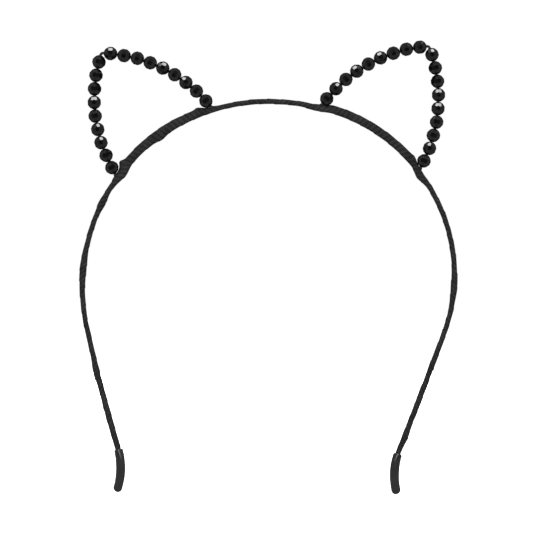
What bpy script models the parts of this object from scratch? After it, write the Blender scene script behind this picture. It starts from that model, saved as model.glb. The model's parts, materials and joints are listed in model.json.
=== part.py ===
"""Animal ears headband: a spring-wire band wound with fabric tape, two wire ears strung with faceted beads,
and a soft cap on each tip.

Metres, +Z up. The wearer faces -Y, and left and right are as seen from the front. The origin is the middle of
the crown's underside, where the band rests on the head.
"""

from math import atan2, ceil, cos, pi, radians, sin

import bmesh
import bpy
import numpy as np
from mathutils import Matrix, Vector

MM = 0.001
LEFT, RIGHT = -1, 1
SIDE_NAMES = {LEFT: "left", RIGHT: "right"}

# The band wire from the middle of the crown to each tip: the (length, turn) of each arc, in mm and degrees.
BAND_ARCS = {
    LEFT: ((27, 21.5), (34, 25.7), (9, 8.8), (60, 46.6), (48, 3.8), (17.7, -36)),
    RIGHT: ((25, 16.6), (36, 31.1), (9, 6.6), (64, 56), (49, 1.3), (17.3, -37.7)),
}
BAND_WIRE_RADIUS = 0.7 * MM
WIRE_ROUNDING = 2
STATION_SPACING = 3.5 * MM
FINE_SPACING = 2 * MM

# Each side flexes about a point of the band just inside its ear.
FLEX_STATION = 18 * MM
FLEX_GAP = 0.5 * MM

# The tape.
TAPE_RADIUS = 0.98 * MM
TAPE_THICKNESS = 0.2 * MM
TAPE_SIDES = 12
TAPE_END = 2 * MM
CROWN_HEIGHT = TAPE_RADIUS

# The ears: where the first bead sits and the heading of its bore, up from the horizontal, in degrees.
FIRST_BEAD = {LEFT: (24.2 * MM, 1.2 * MM, 48), RIGHT: (22.95 * MM, 2 * MM, 50.8)}
BEADS_PER_EAR = 18
BEAD_PITCH = 5.32 * MM
SIDE_TURN = 5.42
CORNER_TURN = 80
CORNER_REACH = 3.64 * MM
EAR_WIRE_RADIUS = 0.52 * MM

# The feet of the ears, as distances along the band, and the tail of each ear wire under the tape.
EAR_FEET = {LEFT: (21.9 * MM, 68.3 * MM), RIGHT: (20.6 * MM, 66.9 * MM)}
TAIL_SPACING = 1.3 * MM
FOOT_LIFT = 20
TWIST_LENGTH = 11 * MM
TAPER_LENGTH = 3 * MM
TAIL_JOIN = 0.4
TAIL_JOIN_GAP = 1.5 * MM
FOOT_HOLE_RADIUS = 0.66 * MM
FOOT_HOLE_OVERRUN = 2 * TAPE_RADIUS

# A bead: turned with flat facets, and pierced along its own Z axis.
BEAD_RADIUS = 2.6 * MM
BORE_RADIUS = 0.65 * MM
BEAD_FACETS = 9
FACET_EDGES = (14, 44, 68)
SPIN_STEP = 137.5
SEAM_MERGE = 0.01 * MM

# The tip caps.
CAP_LENGTH = {LEFT: 16.9 * MM, RIGHT: 16 * MM}
CAP_RADIUS = 1.78 * MM
CAP_THICKNESS = 0.5 * MM
DOME_LATITUDES = (20, 40, 60, 80)

BLACK_WIRE = (0.02, 0.02, 0.022)
BLACK_TAPE = (0.025, 0.025, 0.026)
BLACK_BEAD = (0.008, 0.008, 0.009)
BLACK_VINYL = (0.015, 0.015, 0.016)


def smooth(value):
    """0 to 1 with a soft start and a soft end."""
    value = min(max(value, 0.0), 1.0)
    return value * value * (3 - 2 * value)


def band_length(side):
    return sum(length for length, _ in BAND_ARCS[side]) * MM


def band_frame(side, distance):
    """Where the band wire's axis is at a distance from the crown: x, z and its heading below the horizontal."""
    x, z, heading = 0.0, CROWN_HEIGHT, 0.0
    for length, turn in BAND_ARCS[side]:
        run = min(distance, length * MM)
        turned = radians(turn) * run / (length * MM)
        chord = run * np.sinc(turned / (2 * pi))
        x += chord * cos(heading + turned / 2)
        z -= chord * sin(heading + turned / 2)
        heading += turned
        distance -= run
        if distance <= 0:
            break
    return side * x, z, heading


def band_point(side, distance, out=0.0, back=0.0):
    """A point beside the band: out is away from the head, and back is away from the face."""
    x, z, heading = band_frame(side, distance)
    return Vector((x + side * out * sin(heading), back, z + out * cos(heading)))


def stations(start, end, spacing=STATION_SPACING):
    """Distances along the band, evenly spaced, both ends included."""
    return [float(d) for d in np.linspace(start, end, ceil((end - start) / spacing) + 1)]


def side_stations(side):
    """Distances along one side of the band, closer together where the ear wire's tail winds about it."""
    inner, outer = EAR_FEET[side]
    start, end = FLEX_STATION + FLEX_GAP / 2, band_length(side) - TAPE_END
    return (
        stations(start, inner, FINE_SPACING)
        + stations(inner, inner + TWIST_LENGTH, FINE_SPACING)[1:]
        + stations(inner + TWIST_LENGTH, outer - TWIST_LENGTH)[1:]
        + stations(outer - TWIST_LENGTH, outer, FINE_SPACING)[1:]
        + stations(outer, outer + TAPER_LENGTH, FINE_SPACING)[1:]
        + stations(outer + TAPER_LENGTH, end)[1:]
    )


def tail_place(side, distance):
    """(out, back) of the ear wire's tail: nearly behind the band wire at each foot, and on top of it between."""
    inner, outer = EAR_FEET[side]
    from_foot = min(distance - inner, outer - distance)
    lift = radians(FOOT_LIFT + (90 - FOOT_LIFT) * smooth(from_foot / TWIST_LENGTH))
    return TAIL_SPACING * sin(lift), TAIL_SPACING * cos(lift)


def tail_share(side, distance):
    """How far the tape spreads around the tail: 1 between the feet, falling to 0 past each."""
    inner, outer = EAR_FEET[side]
    start = smooth((distance - inner) / TAPER_LENGTH + 1)
    end = smooth((distance - outer) / TAPER_LENGTH)
    return start * (1 - end)


def tape_ring(side, distance, radius=TAPE_RADIUS):
    """One section of the tape: a round that stretches to hold the band wire and the ear wire's tail."""
    out, back = (tail_share(side, distance) * offset for offset in tail_place(side, distance))
    lean = atan2(*tail_place(side, distance))
    ring = []
    for corner in range(TAPE_SIDES):
        angle = 2 * pi * (corner + 0.5) / TAPE_SIDES - pi / 2
        near_tail = 1 if cos(angle) > 0 else 0
        ring.append(
            band_point(
                side,
                distance,
                near_tail * out + radius * sin(lean + angle),
                near_tail * back + radius * cos(lean + angle),
            )
        )
    return ring


def bead_poses(side):
    """[(place, heading)] of each bead on one ear, from the inner foot to the outer foot, headings in radians."""
    x, z, heading = FIRST_BEAD[side]
    place, heading = Vector((side * x, 0, z)), radians(heading)
    poses = [(place, heading)]
    for number in range(1, BEADS_PER_EAR):
        at_corner = number == BEADS_PER_EAR // 2
        reach = CORNER_REACH if at_corner else BEAD_PITCH / 2
        place = place + reach * direction(side, heading)
        heading -= radians(CORNER_TURN if at_corner else SIDE_TURN)
        place = place + reach * direction(side, heading)
        poses.append((place, heading))
    return poses


def direction(side, heading):
    return Vector((side * cos(heading), 0, sin(heading)))


def clear_scene():
    for old in list(bpy.data.objects):
        bpy.data.objects.remove(old)


def collection(name, hidden=False):
    made = bpy.data.collections.new(name)
    made.hide_render = hidden
    bpy.context.scene.collection.children.link(made)
    return made


def material(name, colour, roughness, metallic=0.0):
    made = bpy.data.materials.new(name)
    made.use_nodes = True
    shader = made.node_tree.nodes["Principled BSDF"]
    shader.inputs["Base Color"].default_value = (*colour, 1)
    shader.inputs["Roughness"].default_value = roughness
    shader.inputs["Metallic"].default_value = metallic
    made.diffuse_color = (*colour, 1)
    return made


def place_object(name, data, group, surface=None, parent=None):
    """A new object in world coordinates, carried by its parent from where it is."""
    made = bpy.data.objects.new(name, data)
    group.objects.link(made)
    if surface:
        data.materials.clear()
        data.materials.append(surface)
    if parent:
        made.parent = parent
        made.matrix_parent_inverse = Matrix.Translation(-parent.location)
    return made


def wire(name, points, radius, group, surface, parent=None):
    """A round wire through the points."""
    curve = bpy.data.curves.new(name, "CURVE")
    curve.dimensions = "3D"
    curve.bevel_depth = radius
    curve.bevel_resolution = WIRE_ROUNDING
    curve.use_fill_caps = True
    spline = curve.splines.new("POLY")
    spline.points.add(len(points) - 1)
    for control, point in zip(spline.points, points):
        control.co = (*point, 1)
    return place_object(name, curve, group, surface, parent)


def skin(name, rings, thickness, group, surface, parent=None, closed_end=None):
    """A tube with walls, lofted through unlike rings. closed_end is the ring that gets a lid, 0 or -1."""
    mesh = bpy.data.meshes.new(name)
    work = bmesh.new()
    loops = [[work.verts.new(point) for point in ring] for ring in rings]
    for near, far in zip(loops, loops[1:]):
        for corner in range(len(near)):
            after = (corner + 1) % len(near)
            work.faces.new((near[corner], near[after], far[after], far[corner]))
    if closed_end == 0:
        work.faces.new(loops[0][::-1])
    elif closed_end == -1:
        work.faces.new(loops[-1])
    work.to_mesh(mesh)
    work.free()
    mesh.shade_smooth()
    made = place_object(name, mesh, group, surface, parent)
    wall = made.modifiers.new("Wall", "SOLIDIFY")
    wall.thickness = thickness
    wall.offset = -1
    wall.use_even_offset = True
    return made


def band_wires(group, surface, hinges):
    """The spring wire: a stretch over the crown and one down each side, with a gap where each side flexes."""
    ends = FLEX_STATION - FLEX_GAP / 2
    half = {side: [band_point(side, d) for d in stations(0, ends)] for side in SIDE_NAMES}
    wire("band_wire_crown", half[LEFT][:0:-1] + half[RIGHT], BAND_WIRE_RADIUS, group, surface)
    for side, side_name in SIDE_NAMES.items():
        places = side_stations(side)
        points = [band_point(side, d) for d in places]
        wire(f"band_wire_{side_name}", points, BAND_WIRE_RADIUS, group, surface, hinges[side])


def tapes(group, surface, hinges):
    """The tape over the crown and down each side. The rings run from the left tip to the right tip."""
    ends = FLEX_STATION - FLEX_GAP / 2
    rings = [tape_ring(LEFT, d) for d in reversed(stations(0, ends))]
    rings += [tape_ring(RIGHT, d) for d in stations(0, ends)[1:]]
    skin("tape_crown", rings, TAPE_THICKNESS, group, surface)
    made = {}
    for side, side_name in SIDE_NAMES.items():
        rings = [tape_ring(side, d) for d in side_stations(side)][::side]
        made[side] = skin(f"tape_{side_name}", rings, TAPE_THICKNESS, group, surface, hinges[side])
    return made


def ear_wire_points(side):
    """The ear wire: from its join under the tape, out at the inner foot, round the ear and back to the join."""
    inner, outer = EAR_FEET[side]
    join = inner + TAIL_JOIN * (outer - inner)
    along = side_stations(side)
    first_tail = [d for d in along if inner < d < join - TAIL_JOIN_GAP / 2]
    last_tail = [d for d in along if join + TAIL_JOIN_GAP / 2 < d < outer]
    points = [tail_point(side, d) for d in first_tail[::-1] + [inner]]
    poses = bead_poses(side)
    points.append(poses[0][0] - BEAD_PITCH / 2 * direction(side, poses[0][1]))
    for number, (place, heading) in enumerate(poses, 1):
        at_corner = number == BEADS_PER_EAR // 2
        points.append(place + (CORNER_REACH if at_corner else BEAD_PITCH / 2) * direction(side, heading))
    points += [tail_point(side, d) for d in [outer] + last_tail[::-1]]
    return points


def tail_point(side, distance):
    return band_point(side, distance, *tail_place(side, distance))


def foot_ends(side):
    """[(point under the tape, point outside it)] of the ear wire at the inner and the outer foot."""
    poses = bead_poses(side)
    first, first_heading = poses[0]
    last, last_heading = poses[-1]
    inner, outer = EAR_FEET[side]
    return [
        (tail_point(side, inner), first - BEAD_PITCH / 2 * direction(side, first_heading)),
        (tail_point(side, outer), last + BEAD_PITCH / 2 * direction(side, last_heading)),
    ]


def foot_hole(tape, number, start, end, group):
    """The opening that an ear wire's foot comes out of."""
    run = end - start
    depth = run.length + FOOT_HOLE_OVERRUN
    mesh = bpy.data.meshes.new(f"{tape.name}_hole_{number}")
    work = bmesh.new()
    bmesh.ops.create_cone(
        work,
        cap_ends=True,
        segments=TAPE_SIDES,
        radius1=FOOT_HOLE_RADIUS,
        radius2=FOOT_HOLE_RADIUS,
        depth=depth,
    )
    bmesh.ops.translate(work, verts=work.verts, vec=(0, 0, depth / 2))
    work.to_mesh(mesh)
    work.free()
    cutter = place_object(mesh.name, mesh, group)
    cutter.location = start
    cutter.rotation_mode = "QUATERNION"
    cutter.rotation_quaternion = run.to_track_quat("Z", "Y")
    cutter.hide_render = True
    cutter.display_type = "WIRE"
    cut = tape.modifiers.new(f"Foot {number}", "BOOLEAN")
    cut.operation = "DIFFERENCE"
    cut.solver = "EXACT"
    cut.object = cutter


def ears(group, surface, hinges):
    for side, side_name in SIDE_NAMES.items():
        wire(f"ear_wire_{side_name}", ear_wire_points(side), EAR_WIRE_RADIUS, group, surface, hinges[side])


def bead_profile():
    """Half of a bead's section, as a closed line at +X: down its faceted side and back up its bore."""
    edges = [radians(angle) for angle in FACET_EDGES]
    latitudes = edges[::-1] + [-angle for angle in edges]
    side_line = [(BEAD_RADIUS * cos(angle), 0, BEAD_RADIUS * sin(angle)) for angle in latitudes]
    half_bore = BEAD_RADIUS * sin(edges[-1])
    line = side_line + [(BORE_RADIUS, 0, -half_bore), (BORE_RADIUS, 0, half_bore)]
    mesh = bpy.data.meshes.new("bead")
    mesh.from_pydata(line, [(n, (n + 1) % len(line)) for n in range(len(line))], [])
    return mesh


def beads(group, surface, hinges):
    """Every bead, with its origin at its middle and its Z axis along the wire."""
    profile = bead_profile()
    for side, side_name in SIDE_NAMES.items():
        for number, (place, heading) in enumerate(bead_poses(side), 1):
            bead = place_object(f"bead_{side_name}_{number:02d}", profile, group, surface, hinges[side])
            bead.location = place
            bead.rotation_mode = "ZYX"
            bead.rotation_euler = (0, side * (pi / 2 - heading), radians(number * SPIN_STEP))
            turn = bead.modifiers.new("Facets", "SCREW")
            turn.steps = turn.render_steps = BEAD_FACETS
            turn.use_smooth_shade = False
            turn.merge_threshold = SEAM_MERGE


def caps(group, surface, hinges):
    """A soft cap on each tip: a sleeve that follows the wire, with a round end."""
    for side, side_name in SIDE_NAMES.items():
        tip = band_length(side)
        dome = [radians(latitude) for latitude in DOME_LATITUDES]
        sections = [(d, CAP_RADIUS) for d in stations(tip - CAP_LENGTH[side], tip - CAP_RADIUS)]
        sections += [(tip - CAP_RADIUS * (1 - sin(angle)), CAP_RADIUS * cos(angle)) for angle in dome]
        rings = [tape_ring(side, distance, radius) for distance, radius in sections][::side]
        closed_end = -1 if side == RIGHT else 0
        skin(f"cap_{side_name}", rings, CAP_THICKNESS, group, surface, hinges[side], closed_end)


def flex_hinges(group):
    """An empty on the axis that each side of the band flexes about."""
    made = {}
    for side, side_name in SIDE_NAMES.items():
        made[side] = place_object(f"flex_{side_name}", None, group)
        made[side].location = band_point(side, FLEX_STATION)
    return made


def build():
    clear_scene()
    parts = collection("animal_ears_headband")
    cutters = collection("cutters", hidden=True)
    steel = material("black_wire", BLACK_WIRE, 0.4, 0.8)
    fabric = material("black_tape", BLACK_TAPE, 0.9)
    glass = material("black_bead", BLACK_BEAD, 0.12)
    vinyl = material("black_vinyl", BLACK_VINYL, 0.35)
    hinges = flex_hinges(parts)
    band_wires(parts, steel, hinges)
    for side, tape in tapes(parts, fabric, hinges).items():
        for number, (start, end) in enumerate(foot_ends(side), 1):
            foot_hole(tape, number, start, end, cutters)
    ears(parts, steel, hinges)
    beads(parts, glass, hinges)
    caps(parts, vinyl, hinges)


build()
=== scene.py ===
"""Animal ears headband: a sprung wire band wound with black fabric tape, two ears of thinner wire strung
with faceted beads, and a soft vinyl cap on each tip. Metres, +Z up, and the wearer faces -Y."""

import json

import bpy
import numpy as np
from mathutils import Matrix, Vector


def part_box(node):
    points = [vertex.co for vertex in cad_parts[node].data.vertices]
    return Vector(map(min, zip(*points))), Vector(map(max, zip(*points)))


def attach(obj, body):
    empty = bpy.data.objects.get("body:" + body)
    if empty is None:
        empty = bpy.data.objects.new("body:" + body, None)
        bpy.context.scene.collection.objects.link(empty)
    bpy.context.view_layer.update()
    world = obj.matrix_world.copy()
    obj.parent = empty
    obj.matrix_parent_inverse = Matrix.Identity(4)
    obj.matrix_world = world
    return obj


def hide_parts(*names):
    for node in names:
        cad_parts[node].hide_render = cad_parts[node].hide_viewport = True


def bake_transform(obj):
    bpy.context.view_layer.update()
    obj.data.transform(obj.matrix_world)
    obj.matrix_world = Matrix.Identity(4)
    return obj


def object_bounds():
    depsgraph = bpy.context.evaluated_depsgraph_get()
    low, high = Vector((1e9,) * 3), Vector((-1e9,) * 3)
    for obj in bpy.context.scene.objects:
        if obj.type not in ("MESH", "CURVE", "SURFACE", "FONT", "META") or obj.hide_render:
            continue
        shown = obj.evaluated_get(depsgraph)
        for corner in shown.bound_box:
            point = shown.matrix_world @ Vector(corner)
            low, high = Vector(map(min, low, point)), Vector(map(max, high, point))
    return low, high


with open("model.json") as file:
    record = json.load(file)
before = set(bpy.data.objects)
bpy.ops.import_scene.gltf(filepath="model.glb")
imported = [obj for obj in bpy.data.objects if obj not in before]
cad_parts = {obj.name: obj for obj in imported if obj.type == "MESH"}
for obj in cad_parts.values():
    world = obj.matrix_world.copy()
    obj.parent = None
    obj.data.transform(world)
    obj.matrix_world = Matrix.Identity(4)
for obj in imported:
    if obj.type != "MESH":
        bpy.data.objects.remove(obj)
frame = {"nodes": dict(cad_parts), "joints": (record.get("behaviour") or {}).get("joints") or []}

cad_box = [list(corner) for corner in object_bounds()]

MM = 0.001
LEFT, RIGHT = -1, 1
SIDE_NAMES = {LEFT: "left", RIGHT: "right"}

# The band: the (length in mm, turn in degrees) of each arc from the crown to each tip.
BAND_ARCS = {
    LEFT: ((27, 21.5), (34, 25.7), (9, 8.8), (60, 46.6), (48, 3.8), (17.7, -36)),
    RIGHT: ((25, 16.6), (36, 31.1), (9, 6.6), (64, 56), (49, 1.3), (17.3, -37.7)),
}
CROWN_HEIGHT = 0.98 * MM
FLEX_STATION = 18 * MM
EAR_FEET = {LEFT: (21.9 * MM, 68.3 * MM), RIGHT: (20.6 * MM, 66.9 * MM)}

# The tape: how it winds, how far each turn stands on the one before, and how it swells.
TAPE_RADIUS = 0.97 * MM
TAPE_WALL = 0.14 * MM
TAPE_ROW = 0.24 * MM
TAPE_COLUMNS = 36
TAPE_IN_CAP = 2.5 * MM
TURN_PITCH = 6.2 * MM
TURN_STEP = 0.11 * MM
STEP_RUN = 0.08
LIP_HEIGHT = 0.06 * MM
LIP_RUN = 0.16
SWELL = 0.035 * MM
GRAIN = 0.012 * MM
TAIL_SPACING = 1.3 * MM
FOOT_LIFT = 20
TWIST_LENGTH = 11 * MM
TAPER_LENGTH = 3 * MM
# Where the tape is doubled or bunched: (distance along the band, spread, extra on the head's side, extra
# outside), in mm. The first of each side are at the ear's feet and between them, and the rest run down it.
THICK_PLACES = {
    LEFT: (
        (27, 2, 0, 0.7), (44, 12, 0, 0.4), (45, 3, 0.7, 0), (63, 1.5, 0, 1.2), (66, 4.5, 1.3, -0.25),
        (80, 3, 0.5, 0.3), (107, 6, 0.3, 0.4), (148, 4, 0, 0.6), (165, 15, 0.2, 0.3),
    ),
    RIGHT: (
        (19, 4.5, 0.6, -0.1), (25, 2, 0, 0.3), (62, 2.3, 0, 0.5), (69, 3, 1.1, -0.15),
        (115, 5, 0.3, 0.3), (160, 15, 0.2, 0.2), (177, 3, 0.1, 0.4),
    ),
}

# The beads.
BEADS_PER_EAR = 18
BEAD_SIDES = 12
BEAD_ROWS = ((0, 2.54 * MM), (33, 2.56 * MM), (58, 2.62 * MM))
BEAD_HALF_LENGTH = 2.57 * MM
BORE_RADIUS = 0.56 * MM
BEAD_BEVEL = 0.03 * MM
SPIN_CHOICES = 48
BRIGHT_BEADS = {LEFT: (3, 5, 9, 13, 15, 16), RIGHT: (2, 4, 6, 10, 13, 14, 17)}

# The ear wire.
EAR_WIRE_RADIUS = 0.54 * MM
EAR_WIRE_COLUMNS = 20
WIRE_BEND = 1.05 * MM
FOOT_BLOB = 0.36 * MM
FOOT_BLOB_SPREAD = 0.6 * MM
BEND_POINTS = 12
TAIL_POINTS = 24
TAIL_JOIN = 0.4
TAIL_JOIN_GAP = 1.6 * MM

# The caps.
CAP_LENGTH = {LEFT: 16.9 * MM, RIGHT: 16 * MM}
CAP_RADIUS = 1.74 * MM
CAP_WALL = 0.45 * MM
CAP_COLUMNS = 96
CAP_ROWS = 70
DOME_ROWS = 16
DOME_END = 88
LIP_ROLL = 0.7 * MM
LIP_TUCK = 0.4 * MM
CREASE_DEPTH = 0.5 * MM
CREASE_RIDGE = 0.2 * MM
CREASE_LENGTH = {LEFT: 4.4 * MM, RIGHT: 3.4 * MM}

# The camera and the studio.
VIEW_CENTRE = Vector((-0.585 * MM, 0, -63.4 * MM))
VIEW_WIDTH = 207.9 * MM
LENS = 150
SENSOR = 36
CAMERA_PLACE = VIEW_CENTRE - Vector((0, VIEW_WIDTH * LENS / SENSOR, 0))
FLOOR_DROP = 12 * MM
OVERHEAD_PLACE = (0.0, -0.2, 0.9)
OVERHEAD_SIZE = (1.3, 0.12)
FILL_SIZE = (0.9, 0.9)
FILLS = (("front_fill", (0, -1.2, 0.15), 34), ("back_fill", (0, 1.2, 0.25), 22))
OVERHEAD = 6.5
FLOOR_REACH = 4


def smooth(value):
    """0 to 1 with a soft start and a soft end."""
    value = np.clip(value, 0, 1)
    return value * value * (3 - 2 * value)


def unit(vectors):
    return vectors / np.linalg.norm(vectors, axis=-1, keepdims=True)


def ripple(seed, waves, *coordinates):
    """A smooth irregular field, about -1 to 1: a sum of sines with rates and phases drawn from the seed."""
    draw = np.random.default_rng(seed)
    total = 0.0
    for _ in range(waves):
        rates = draw.uniform(0.5, 1.6, len(coordinates)) * draw.choice([-1, 1], len(coordinates))
        total = total + np.sin(sum(r * c for r, c in zip(rates, coordinates)) + draw.uniform(0, 2 * np.pi))
    return total / waves ** 0.5 / 1.4


def band_length(side):
    return sum(length for length, _ in BAND_ARCS[side]) * MM


def band_line(side, distance):
    """x, z and heading below the horizontal at distances along the band. Each arc adds a chord, its run times
    sinc of half its turn, laid along its middle heading."""
    left = np.array(distance, float)
    x, z, heading = 0 * left, 0 * left + CROWN_HEIGHT, 0 * left
    for length, turn in BAND_ARCS[side]:
        run = np.clip(left, 0, length * MM)
        turned = np.radians(turn) * run / (length * MM)
        chord = run * np.sinc(turned / (2 * np.pi))
        x = x + chord * np.cos(heading + turned / 2)
        z = z - chord * np.sin(heading + turned / 2)
        heading = heading + turned
        left = left - run
    return side * x, z, heading


def band_place(side, distance, out, back):
    """Points beside the band: out runs away from the head in its plane, and back away from the face."""
    x, z, heading = band_line(side, distance)
    back = np.broadcast_to(back, x.shape)
    return np.stack([x + side * out * np.sin(heading), back, z + out * np.cos(heading)], -1)


def tail_place(side, distance):
    """(out, back) of the ear wire's tail: nearly behind the band wire at each foot, and over it between."""
    inner, outer = EAR_FEET[side]
    from_foot = np.minimum(distance - inner, outer - distance)
    lift = np.radians(FOOT_LIFT + (90 - FOOT_LIFT) * smooth(from_foot / TWIST_LENGTH))
    return TAIL_SPACING * np.sin(lift), TAIL_SPACING * np.cos(lift)


def tail_share(side, distance):
    """How far the tape spreads round the tail: 1 between the feet, falling to 0 past each."""
    inner, outer = EAR_FEET[side]
    return smooth((distance - inner) / TAPER_LENGTH + 1) * (1 - smooth((distance - outer) / TAPER_LENGTH))


def surface(name, points, uv=None, closed=(True, True)):
    """A mesh from a grid of points, rows along the piece and columns round it. The last column joins the
    first, and each end that is closed gets a lid. uv holds one more column than the points."""
    rows, columns = points.shape[:2]
    index = np.arange(rows * columns).reshape(rows, columns)
    after = np.roll(index, -1, 1)
    quads = np.stack([index[:-1], after[:-1], after[1:], index[1:]], -1).reshape(-1, 4)
    faces = quads.tolist()
    lids = [index[0, ::-1].tolist()] * closed[0] + [index[-1].tolist()] * closed[1]
    mesh = bpy.data.meshes.new(name)
    mesh.from_pydata(points.reshape(-1, 3).tolist(), [], faces + lids)
    mesh.shade_smooth()
    if uv is not None:
        corners = np.stack([uv[:-1, :-1], uv[:-1, 1:], uv[1:, 1:], uv[1:, :-1]], -2).reshape(-1, 2)
        lid_uv = np.zeros((columns * len(lids), 2))
        layer = mesh.uv_layers.new(name="wrap")
        layer.uv.foreach_set("vector", np.concatenate([corners, lid_uv]).astype(np.float32).ravel())
    made = bpy.data.objects.new(name, mesh)
    bpy.context.scene.collection.objects.link(made)
    return made


def point_value(piece, name, values):
    """Keeps one number for each point of the piece, for its material to read."""
    layer = piece.data.attributes.new(name, "FLOAT", "POINT")
    layer.data.foreach_set("value", values.astype(np.float32).ravel())


def wall(piece, thickness):
    made = piece.modifiers.new("Wall", "SOLIDIFY")
    made.thickness = thickness
    made.offset = -1


# --- Tape -------------------------------------------------------------------------------------------------


def turns(side, distance):
    """The count of tape turns up to a distance, with some turns laid closer than others."""
    signed = side * distance
    uneven = 0.22 * ripple(41, 4, signed / (9 * MM)) + 0.15 * ripple(42, 3, signed / (4 * MM))
    return signed / TURN_PITCH + uneven


def tape_thickness(side, distance, angle):
    """The radius of the tape. It steps up where a turn laps the one before and then falls slowly to the next;
    a lip stands at the step, and slow swells and the thick places add to it."""
    phase = turns(side, distance) - angle / (2 * np.pi)
    share = phase - np.floor(phase)
    rise = smooth(share / STEP_RUN)
    slope = rise * (1 - (share - STEP_RUN) / (1 - STEP_RUN))
    lap = np.where(share < STEP_RUN, rise, slope)
    grain = ripple(7, 5, side * distance / (1.6 * MM), np.sin(2 * angle), np.cos(3 * angle))
    lip_height = 0.55 + 0.6 * ripple(8, 4, side * distance / (3 * MM), np.sin(angle))
    lip = np.exp(-(((share - STEP_RUN) / LIP_RUN) ** 2)) * lip_height
    swell = ripple(9, 5, side * distance / (3.2 * MM), np.sin(angle), np.cos(angle))
    radius = TAPE_RADIUS + TURN_STEP * lap + LIP_HEIGHT * np.clip(lip, 0, 1) + SWELL * swell + GRAIN * grain
    outward = np.sin(angle - np.pi)
    for owner, places in THICK_PLACES.items():
        for place, spread, head_side, outside in places:
            near = np.exp(-(((owner * side * distance / MM - place) / spread) ** 2))
            radius = radius + np.where(outward > 0, outside, head_side) * MM * outward**2 * near
    return radius


def tape(side):
    """The wound tape of one side, from the crown to inside its cap: a round that stretches to hold the band
    wire and the ear wire's tail, carried along the band."""
    end = band_length(side) - CAP_LENGTH[side] + TAPE_IN_CAP
    distance = np.linspace(0, end, int(end / TAPE_ROW))[:, None]
    turn = np.pi + side * np.linspace(0, 2 * np.pi, TAPE_COLUMNS + 1)[None, :]
    angle = turn[:, :-1] + 0 * distance
    distance = distance + 0 * angle
    share = tail_share(side, distance)
    tail_out, tail_back = tail_place(side, distance)
    out, back = share * tail_out, share * tail_back
    lean = np.arctan2(tail_out, tail_back)
    around = angle - np.pi
    near_tail = smooth(0.5 + 1.1 * np.cos(around - lean))
    radius = tape_thickness(side, distance, angle)
    normal_out, normal_back = np.sin(around), np.cos(around)
    points = band_place(
        side, distance, near_tail * out + radius * normal_out, near_tail * back + radius * normal_back
    )
    uv = np.stack(np.broadcast_arrays(turn, np.linspace(0, end / MM, distance.shape[0])[:, None]), -1)
    piece = surface(f"wound_tape_{SIDE_NAMES[side]}", points, uv, closed=(False, False))
    wall(piece, TAPE_WALL)
    return piece


# --- Beads ------------------------------------------------------------------------------------------------


def bead_facets():
    """The facet planes of a bead whose bore is Z, as {(row, sign): (normals, distance)}. Each row is turned
    half a facet from the row before, and sign tells the two ends apart."""
    facets = {}
    for row, (latitude, distance) in enumerate(BEAD_ROWS):
        azimuth = 2 * np.pi * (np.arange(BEAD_SIDES) + 0.5 * (row % 2)) / BEAD_SIDES
        for sign in (1, -1):
            tilt = np.radians(sign * latitude) + 0 * azimuth
            level = np.cos(tilt)
            normals = np.stack([level * np.cos(azimuth), level * np.sin(azimuth), np.sin(tilt)], -1)
            facets[row, sign] = normals, distance
    return facets


def turned(plane, steps):
    """The same row of planes, each replaced by its neighbour that many steps on."""
    return np.roll(plane[0], -steps, 0), plane[1]


def meeting(*planes):
    """Where three planes meet, for rows of planes."""
    normals = np.stack([normals for normals, _ in planes], -2)
    distances = np.array([distance for _, distance in planes])
    return np.linalg.solve(normals, np.broadcast_to(distances[:, None], (*normals.shape[:2], 1)))[..., 0]


def bead_shape():
    """(points, faces) of a bead with its bore along Z. Every corner is where three facet planes meet, so
    each facet is flat: hexagons in three rows about the middle, then five-sided ones, then a flat with the
    bore."""
    facets = bead_facets()
    belt = facets[0, 1]
    rings = []
    for sign in (1, -1):
        middle, end = facets[1, sign], facets[2, sign]
        flat = np.tile([0.0, 0.0, sign], (BEAD_SIDES, 1)), BEAD_HALF_LENGTH
        angle = 2 * np.pi * (np.arange(BEAD_SIDES) + 0.5) / BEAD_SIDES
        bore = BORE_RADIUS * np.stack([np.cos(angle), np.sin(angle), 0 * angle], -1)
        bore[:, 2] = sign * BEAD_HALF_LENGTH
        rings.append(
            [
                meeting(belt, turned(belt, 1), middle),
                meeting(belt, turned(middle, -1), middle),
                meeting(turned(middle, -1), middle, end),
                meeting(middle, end, turned(end, 1)),
                meeting(end, turned(end, 1), flat),
                bore,
            ]
        )
    points = np.concatenate([ring for half in rings for ring in half])
    top, low = np.arange(len(points)).reshape(2, 6, BEAD_SIDES)
    groups = [np.stack([low[0], top[0], top[1], np.roll(top[0], 1), np.roll(low[0], 1), low[1]], -1)]
    groups.append(np.stack([low[5], top[5], np.roll(top[5], -1), np.roll(low[5], -1)], -1))
    for (shoulder, waist, neck, collar, rim, bore), turn in ((top, 1), (low, -1)):
        upper = np.stack([shoulder, np.roll(waist, -1), np.roll(neck, -1), collar, neck, waist], -1)
        last = np.stack([neck, collar, rim, np.roll(rim, 1), np.roll(collar, 1)], -1)
        flat = np.stack([rim, np.roll(rim, -1), np.roll(bore, -1), bore], -1)
        groups += [group[:, ::turn] for group in (upper, last, flat)]
    return points, [face for group in groups for face in group.tolist()]


def bead_places(side):
    """(names, centres, axes) of the beads of one ear, from the frame."""
    joints = {joint["child"]: joint for joint in frame["joints"]}
    names = [f"bead_{SIDE_NAMES[side]}_{number:02d}" for number in range(1, BEADS_PER_EAR + 1)]
    centres = np.array([(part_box(name)[0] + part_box(name)[1]) / 2 for name in names])
    return names, centres, np.array([joints[name]["axis"] for name in names])


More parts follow.
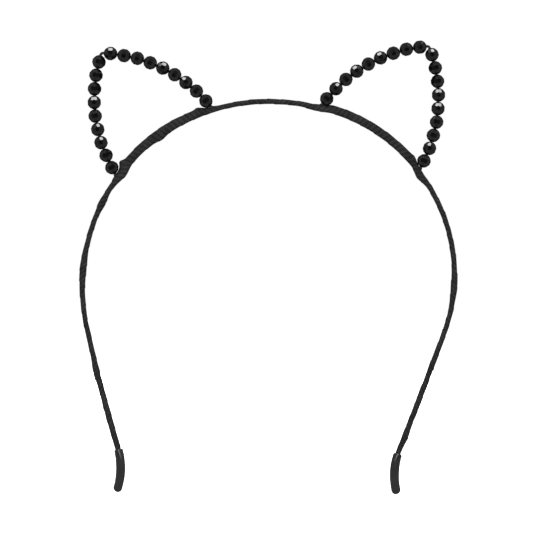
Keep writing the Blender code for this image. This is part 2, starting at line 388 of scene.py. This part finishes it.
def bead_frame(axis, spin):
    """Rows that turn a bead's own X, Y and Z into the world's, for arrays of spins."""
    across = np.array([0.0, 1.0, 0.0])
    third = np.cross(axis, across)
    first = np.cos(spin)[..., None] * across + np.sin(spin)[..., None] * third
    return np.stack([first, np.cross(axis, first), np.broadcast_to(axis, first.shape)], -2)


def glints(centre, frames):
    """How much of the overhead light each turning of a bead throws at the camera: each facet's normal mirrors
    the direction of the camera, and the facet counts if that ray meets the light."""
    facets = bead_facets()
    normals = np.concatenate([facets[key][0] for key in facets if key != (0, -1)]) @ frames
    to_camera = unit(np.array(CAMERA_PLACE) - centre)
    facing = normals @ to_camera
    ray = 2 * facing[..., None] * normals - to_camera
    light = np.array(OVERHEAD_PLACE) - centre
    reach = light[2] / np.maximum(ray[..., 2], 1e-6)
    miss = np.abs(ray[..., :2] * reach[..., None] - light[:2]) / (np.array(OVERHEAD_SIZE) / 2)
    return (facing * (ray[..., 2] > 0) * (facing > 0) * np.exp(-(miss.max(-1) ** 4))).sum(-1)


def beads(side, finish):
    """The beads of one ear. As strung, each is turned on the wire so that its facets catch the overhead light
    or miss it."""
    points, faces = bead_shape()
    draw = np.random.default_rng(5 + side)
    for number, (name, centre, axis) in enumerate(zip(*bead_places(side)), 1):
        spins = np.linspace(0, 2 * np.pi / BEAD_SIDES, SPIN_CHOICES) + draw.uniform(0, 2 * np.pi)
        frames = bead_frame(axis, spins)
        caught = glints(centre, frames)
        chosen = np.argmax(caught) if number in BRIGHT_BEADS[side] else np.argmin(caught)
        mesh = bpy.data.meshes.new(f"cut_{name}")
        mesh.from_pydata((centre + points @ frames[chosen]).tolist(), [], faces)
        mesh.materials.append(finish)
        piece = bpy.data.objects.new(f"cut_{name}", mesh)
        bpy.context.scene.collection.objects.link(piece)
        soften = piece.modifiers.new("Edges", "BEVEL")
        soften.width = BEAD_BEVEL
        soften.segments = 1
        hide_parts(name)
        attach(piece, name)


# --- Ear wire ---------------------------------------------------------------------------------------------


def tail(side, start, end):
    """Points of the ear wire's tail, wound about the band wire between two distances along the band."""
    distance = np.linspace(start, end, TAIL_POINTS)
    return band_place(side, distance, *tail_place(side, distance))


def bent(corners):
    """A line through the corners with each one rounded: a parabola between the points a bend's reach before
    and after it."""
    before, corner, after = corners[:-2, None], corners[1:-1, None], corners[2:, None]
    legs = [(end - corner) for end in (before, after)]
    sizes = [np.linalg.norm(leg, axis=-1, keepdims=True) for leg in legs]
    first, last = (corner + leg * np.minimum(WIRE_BEND / size, 0.45) for leg, size in zip(legs, sizes))
    share = np.linspace(0, 1, BEND_POINTS)[None, :, None]
    arcs = first * (1 - share) ** 2 + corner * 2 * share * (1 - share) + last * share**2
    return np.concatenate([corners[:1], arcs.reshape(-1, 3), corners[-1:]])


def ear_wire(side):
    """A round wire carried along the ear: out of the tape at the inner foot, through every bead, and back
    under the tape at the outer foot. A circle stands across the line at each point, wider where a blob of
    glue holds the wire at each foot. Between beads it bends."""
    inner, outer = EAR_FEET[side]
    join = inner + TAIL_JOIN * (outer - inner)
    _, centres, axes = bead_places(side)
    middle = BEADS_PER_EAR // 2
    gap = (centres[1] - centres[0]) @ axes[0] / 2
    mitres = (centres[:-1] + centres[1:]) / 2
    step = (centres[middle] - centres[middle - 1]) / 2
    mitres[middle - 1] = centres[middle - 1] + axes[middle - 1] * (step @ step) / (step @ axes[middle - 1])
    out_of = tail(side, join - TAIL_JOIN_GAP / 2, inner)
    back_into = tail(side, outer, join + TAIL_JOIN_GAP / 2)
    ends = np.array([centres[0] - gap * axes[0], centres[-1] + gap * axes[-1]])
    line = bent(np.concatenate([out_of, ends[:1], mitres, ends[1:], back_into]))
    blobs = (np.array([out_of[-1], back_into[0]]) + ends) / 2
    from_blob = np.linalg.norm(line[:, None] - blobs, axis=-1).min(1)
    radius = EAR_WIRE_RADIUS + FOOT_BLOB * np.exp(-((from_blob / FOOT_BLOB_SPREAD) ** 2))
    along = unit(np.gradient(line, axis=0))
    across = unit(np.cross(along, [0.0, 1.0, 0.0]))
    up = np.cross(along, across)
    angle = 2 * np.pi * np.arange(EAR_WIRE_COLUMNS) / EAR_WIRE_COLUMNS
    ring = np.cos(angle)[None, :, None] * across[:, None] + np.sin(angle)[None, :, None] * up[:, None]
    return surface(f"strung_wire_{SIDE_NAMES[side]}", line[:, None] + radius[:, None, None] * ring)


# --- Caps -------------------------------------------------------------------------------------------------


def cap(side):
    """A vinyl sleeve carried along the band's last stretch: a rolled lip at the mouth, a slight swell, a
    round end, and a fold from the mouth where the sleeve was pushed on. The fold is a groove with a
    ridge beside it, both fading away down the sleeve. The ridge is also painted lighter as a painted
    highlight, and the groove darker as painted shade."""
    tip, length = band_length(side), CAP_LENGTH[side]
    start = tip - length
    straight = np.linspace(0, 1, CAP_ROWS)
    along = start + straight * (length - CAP_RADIUS)
    roll = 1 - np.clip(straight * length / LIP_ROLL, 0, 1)
    swell = 0.09 * MM * np.sin(np.pi * straight) ** 2 + 0.08 * MM * smooth(4 * straight - 3) * (side == RIGHT)
    radii = CAP_RADIUS + swell - LIP_TUCK * (1 - np.sqrt(1 - roll**2))
    latitude = np.radians(np.linspace(0, DOME_END, DOME_ROWS))[1:]
    along = np.concatenate([along, tip - CAP_RADIUS * (1 - np.sin(latitude))])
    radii = np.concatenate([radii, radii[-1] * np.cos(latitude)])
    distance = along[:, None] + np.zeros((1, CAP_COLUMNS))
    turn = side * 2 * np.pi * np.arange(CAP_COLUMNS) / CAP_COLUMNS + 0 * distance
    run = (distance - start) / CREASE_LENGTH[side]
    off = np.angle(np.exp(1j * (turn - np.pi + 0.2 - 0.35 * run)))
    depth = smooth(1.1 - run)
    groove = depth * np.exp(-(((off + 0.1) / 0.17) ** 2))
    ridge = depth * np.exp(-(((off - 0.2) / 0.13) ** 2))
    uneven = 0.14 * MM * ripple(12, 3, np.sin(turn), 1.7 * np.cos(turn)) * np.exp(-run * 3)
    radius = radii[:, None] - CREASE_DEPTH * groove + CREASE_RIDGE * ridge
    points = band_place(side, distance + uneven, radius * np.sin(turn), radius * np.cos(turn))
    piece = surface(f"tip_cap_{SIDE_NAMES[side]}", points, closed=(False, True))
    # The ridge and groove are kept for the vinyl's colour: the ridge as a painted highlight, the groove as
    # painted shade.
    point_value(piece, "crease_highlight_and_shade", ridge - 0.12 * groove)
    wall(piece, CAP_WALL)
    return piece


# --- Finishes ---------------------------------------------------------------------------------------------


class Link:
    """A shader output. Sums and products with numbers or other outputs add their Math nodes."""

    def __init__(self, finish, socket):
        self.finish, self.socket = finish, socket

    def maths(self, operation, *inputs):
        return self.finish.node("Math", {"operation": operation}, dict(enumerate(inputs)))

    def __add__(self, other):
        return self.maths("ADD", self, other)

    def __sub__(self, other):
        return self.maths("SUBTRACT", self, other)

    def __rsub__(self, other):
        return self.maths("SUBTRACT", other, self)

    def __mul__(self, other):
        return self.maths("MULTIPLY", self, other)

    def __pow__(self, other):
        return self.maths("POWER", self, other)

    def sine(self):
        return self.maths("SINE", self)

    __radd__ = __add__
    __rmul__ = __mul__


class Finish:
    """A material: node() adds any shader node, and shader() sets the surface itself."""

    def __init__(self, name):
        self.material = bpy.data.materials.new(name)
        self.material.use_nodes = True
        self.tree = self.material.node_tree
        self.surface = self.tree.nodes["Principled BSDF"]

    def fill(self, node, inputs):
        for name, value in inputs.items():
            if isinstance(value, Link):
                self.tree.links.new(value.socket, node.inputs[name])
            else:
                node.inputs[name].default_value = value

    def node(self, kind, settings=None, inputs=None, output=0):
        made = self.tree.nodes.new(f"ShaderNode{kind}")
        settings = dict(settings or {})
        stops = settings.pop("stops", None)
        for name, value in settings.items():
            setattr(made, name, value)
        if stops:
            ramp = made.color_ramp
            while len(ramp.elements) < len(stops):
                ramp.elements.new(0.5)
            for element, (position, colour) in zip(ramp.elements, stops):
                element.position, element.color = position, colour
        self.fill(made, inputs or {})
        return Link(self, made.outputs[output])

    def mix(self, share, low, high):
        settings = {"data_type": "RGBA"}
        return self.node("Mix", settings, {0: share, 6: (*low, 1), 7: (*high, 1)}, output=2)

    def shader(self, **inputs):
        self.fill(self.surface, {name.replace("_", " "): value for name, value in inputs.items()})
        return self.material


def tape_cloth():
    """Woven tape: warp and weft threads that cross at the angle of the winding, with loose fibres and paler
    specks."""
    cloth = Finish("black_woven_tape")
    wrap = cloth.node("UVMap", {"uv_map": "wrap"})
    split = cloth.node("SeparateXYZ", inputs={0: wrap})
    round_way, long_way = split, Link(cloth, split.socket.node.outputs[1])
    warp = (round_way * 10.0 + long_way * 10.8).sine()
    weft = (round_way * -11.0 + long_way * 10.5).sine()
    weave = warp * weft
    rib = (round_way * 3.0 + long_way * 3.3).sine()
    position = cloth.node("TexCoord", output=3)
    threads = {"Vector": position, "Scale": 2200.0, "Detail": 4.0, "Roughness": 0.7}
    fibre = cloth.node("TexNoise", inputs=threads)
    patch = cloth.node("TexNoise", inputs={"Vector": position, "Scale": 260.0, "Detail": 2.0})
    tone = fibre * 0.75 + patch * 0.5 + weave * 0.08 + rib * 0.12 - 0.2
    stops = [
        (0.15, (0.004, 0.004, 0.0045, 1)),
        (0.6, (0.019, 0.019, 0.0195, 1)),
        (0.95, (0.052, 0.052, 0.052, 1)),
    ]
    colour = cloth.node("ValToRGB", {"stops": stops}, {0: tone})
    height = weave * 0.5 + rib * 0.35 + fibre * 0.8
    bump = cloth.node("Bump", inputs={"Strength": 0.5, "Distance": 0.00008, "Height": height})
    return cloth.shader(Base_Color=colour, Roughness=0.78 + fibre * 0.2, Normal=bump, Specular_IOR_Level=0.25)


def bead_glass():
    """Polished black facets: faint wear and dust change the gloss from facet to facet."""
    glass = Finish("black_cut_bead")
    position = glass.node("TexCoord", output=3)
    smear = glass.node("TexNoise", inputs={"Vector": position, "Scale": 500.0, "Detail": 3.0})
    dust = glass.node("TexNoise", inputs={"Vector": position, "Scale": 3800.0, "Detail": 2.0})
    colour = glass.mix(smear, (0.0008, 0.0008, 0.0009), (0.003, 0.003, 0.0032))
    height = smear * 0.6 + dust * 0.1
    bump = glass.node("Bump", inputs={"Strength": 0.12, "Distance": 0.00005, "Height": height})
    return glass.shader(Base_Color=colour, Roughness=0.03 + smear * 0.07 + dust * 0.03, Normal=bump, IOR=1.5)


def enamelled_wire():
    """Black enamel on wire: satin, with fine lengthwise scuffs and a few bare specks."""
    wire = Finish("black_enamelled_wire")
    position = wire.node("TexCoord", output=3)
    scuff = wire.node("TexNoise", inputs={"Vector": position, "Scale": 1800.0, "Detail": 4.0})
    colour = wire.mix(scuff ** 4.0, (0.01, 0.01, 0.011), (0.12, 0.12, 0.12))
    bump = wire.node("Bump", inputs={"Strength": 0.3, "Distance": 0.00004, "Height": scuff})
    return wire.shader(Base_Color=colour, Roughness=0.3 + scuff * 0.2, Normal=bump, Metallic=0.3)


def soft_vinyl():
    """Dipped vinyl: a dull sheen with a fine orange-peel skin and rubbed patches. The colour also holds a
    painted highlight on the ridge beside the mouth's groove, and painted shade in the groove.
    """
    vinyl = Finish("black_soft_vinyl")
    position = vinyl.node("TexCoord", output=3)
    peel = vinyl.node("TexNoise", inputs={"Vector": position, "Scale": 900.0, "Detail": 2.0})
    rubbed = vinyl.node("TexNoise", inputs={"Vector": position, "Scale": 240.0, "Detail": 3.0})
    crease_highlight_and_shade = vinyl.node("Attribute", {"attribute_name": "crease_highlight_and_shade"}, output=2)
    # Painted light: the ridge lifts the colour to a painted highlight, and the groove lowers it to painted
    # shade.
    colour = vinyl.mix(rubbed * 0.06 + crease_highlight_and_shade + 0.07, (0.001, 0.001, 0.0011), (0.12, 0.12, 0.12))
    bump = vinyl.node("Bump", inputs={"Strength": 0.25, "Distance": 0.0001, "Height": peel + rubbed * 0.5})
    return vinyl.shader(Base_Color=colour, Roughness=0.36 + rubbed * 0.22, Normal=bump)


def dress(piece, finish):
    """Gives a piece its finish."""
    piece.data.materials.clear()
    piece.data.materials.append(finish)


# --- Studio -----------------------------------------------------------------------------------------------


def softbox(name, place, size, power, shows_in_gloss=True, shows_in_diffuse=True):
    light = bpy.data.lights.new(name, "AREA")
    light.shape = "RECTANGLE"
    light.size, light.size_y = size
    light.energy = power
    made = bpy.data.objects.new(name, light)
    bpy.context.scene.collection.objects.link(made)
    made.location = place
    made.rotation_euler = (VIEW_CENTRE - Vector(place)).to_track_quat("-Z", "Y").to_euler()
    made.visible_camera = False
    made.visible_glossy = shows_in_gloss
    made.visible_diffuse = shows_in_diffuse


def studio():
    """A white surround, a soft light before and behind, and a narrow bright one overhead for the facets. In
    gloss and shade the surround is a ramp from front to back, so black pieces show their form."""
    scene = bpy.context.scene
    scene.view_settings.view_transform = "Standard"
    world = bpy.data.worlds.new("studio")
    scene.world = world
    world.use_nodes = True
    nodes, links = world.node_tree.nodes, world.node_tree.links
    background = nodes["Background"]
    path = nodes.new("ShaderNodeLightPath")
    direction = nodes.new("ShaderNodeTexCoord")
    split = nodes.new("ShaderNodeSeparateXYZ")
    ramp = nodes.new("ShaderNodeValToRGB")
    forward = nodes.new("ShaderNodeMapRange")
    for name, value in (("From Min", -1), ("From Max", 1)):
        forward.inputs[name].default_value = value
    stops = [(0.0, 0.02), (0.06, 0.05), (0.18, 0.3), (0.45, 0.5), (0.66, 0.3), (0.85, 0.04)]
    while len(ramp.color_ramp.elements) < len(stops):
        ramp.color_ramp.elements.new(0.5)
    for element, (position, value) in zip(ramp.color_ramp.elements, stops):
        element.position, element.color = position, (value, value, value, 1)
    links.new(direction.outputs["Generated"], split.inputs[0])
    links.new(split.outputs["Y"], forward.inputs["Value"])
    links.new(forward.outputs[0], ramp.inputs[0])
    shown = nodes.new("ShaderNodeMix")
    shown.data_type = "RGBA"
    shown.inputs[7].default_value = (1, 1, 1, 1)
    links.new(path.outputs["Is Camera Ray"], shown.inputs[0])
    links.new(ramp.outputs[0], shown.inputs[6])
    links.new(shown.outputs[2], background.inputs["Color"])
    for name, offset, power in FILLS:
        softbox(name, VIEW_CENTRE + Vector(offset), FILL_SIZE, power, shows_in_gloss=False)
    softbox("overhead", OVERHEAD_PLACE, OVERHEAD_SIZE, OVERHEAD, shows_in_diffuse=False)


def floor():
    """A plain white floor under the band: a flat square grid."""
    low = cad_box[0][2] - FLOOR_DROP
    reach = np.linspace(-FLOOR_REACH, FLOOR_REACH, 9)
    x, y = np.meshgrid(reach, reach)
    points = np.stack([x, y, 0 * x + low], -1)
    index = np.arange(points.size // 3).reshape(x.shape)
    quads = np.stack([index[:-1, :-1], index[:-1, 1:], index[1:, 1:], index[1:, :-1]], -1).reshape(-1, 4)
    mesh = bpy.data.meshes.new("floor")
    mesh.from_pydata(points.reshape(-1, 3).tolist(), [], quads.tolist())
    white = Finish("white_floor")
    mesh.materials.append(
        white.shader(
            Base_Color=(0.9, 0.9, 0.9, 1), Roughness=0.9, Emission_Color=(1, 1, 1, 1), Emission_Strength=1.0
        )
    )
    made = bpy.data.objects.new("floor", mesh)
    bpy.context.scene.collection.objects.link(made)
    made.visible_glossy = False
    made.visible_diffuse = False


def camera():
    made = bpy.data.objects.new("camera", bpy.data.cameras.new("camera"))
    bpy.context.scene.collection.objects.link(made)
    made.data.lens, made.data.sensor_width = LENS, SENSOR
    made.data.clip_start, made.data.clip_end = 0.01, 50
    made.location = CAMERA_PLACE
    made.rotation_euler = (np.pi / 2, 0, 0)
    bpy.context.scene.camera = made


def build():
    cloth, glass, wire, vinyl = tape_cloth(), bead_glass(), enamelled_wire(), soft_vinyl()
    for side, name in SIDE_NAMES.items():
        wound = tape(side)
        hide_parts(f"tape_{name}", "tape_crown")
        dress(wound, cloth)
        pivot = band_place(side, np.array([FLEX_STATION]), 0.0, 0.0)[0]
        x, z, heading = band_line(side, np.array([FLEX_STATION]))
        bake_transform(wound)
        sleeve = cap(side)
        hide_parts(f"cap_{name}")
        dress(sleeve, vinyl)
        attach(sleeve, f"{name}_side")
        beads(side, glass)
        strung = ear_wire(side)
        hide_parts(f"ear_wire_{name}")
        dress(strung, wire)
        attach(strung, f"{name}_side")
        dress(frame["nodes"][f"band_wire_{name}"], wire)
    dress(frame["nodes"]["band_wire_crown"], wire)


camera()
floor()
studio()
build()
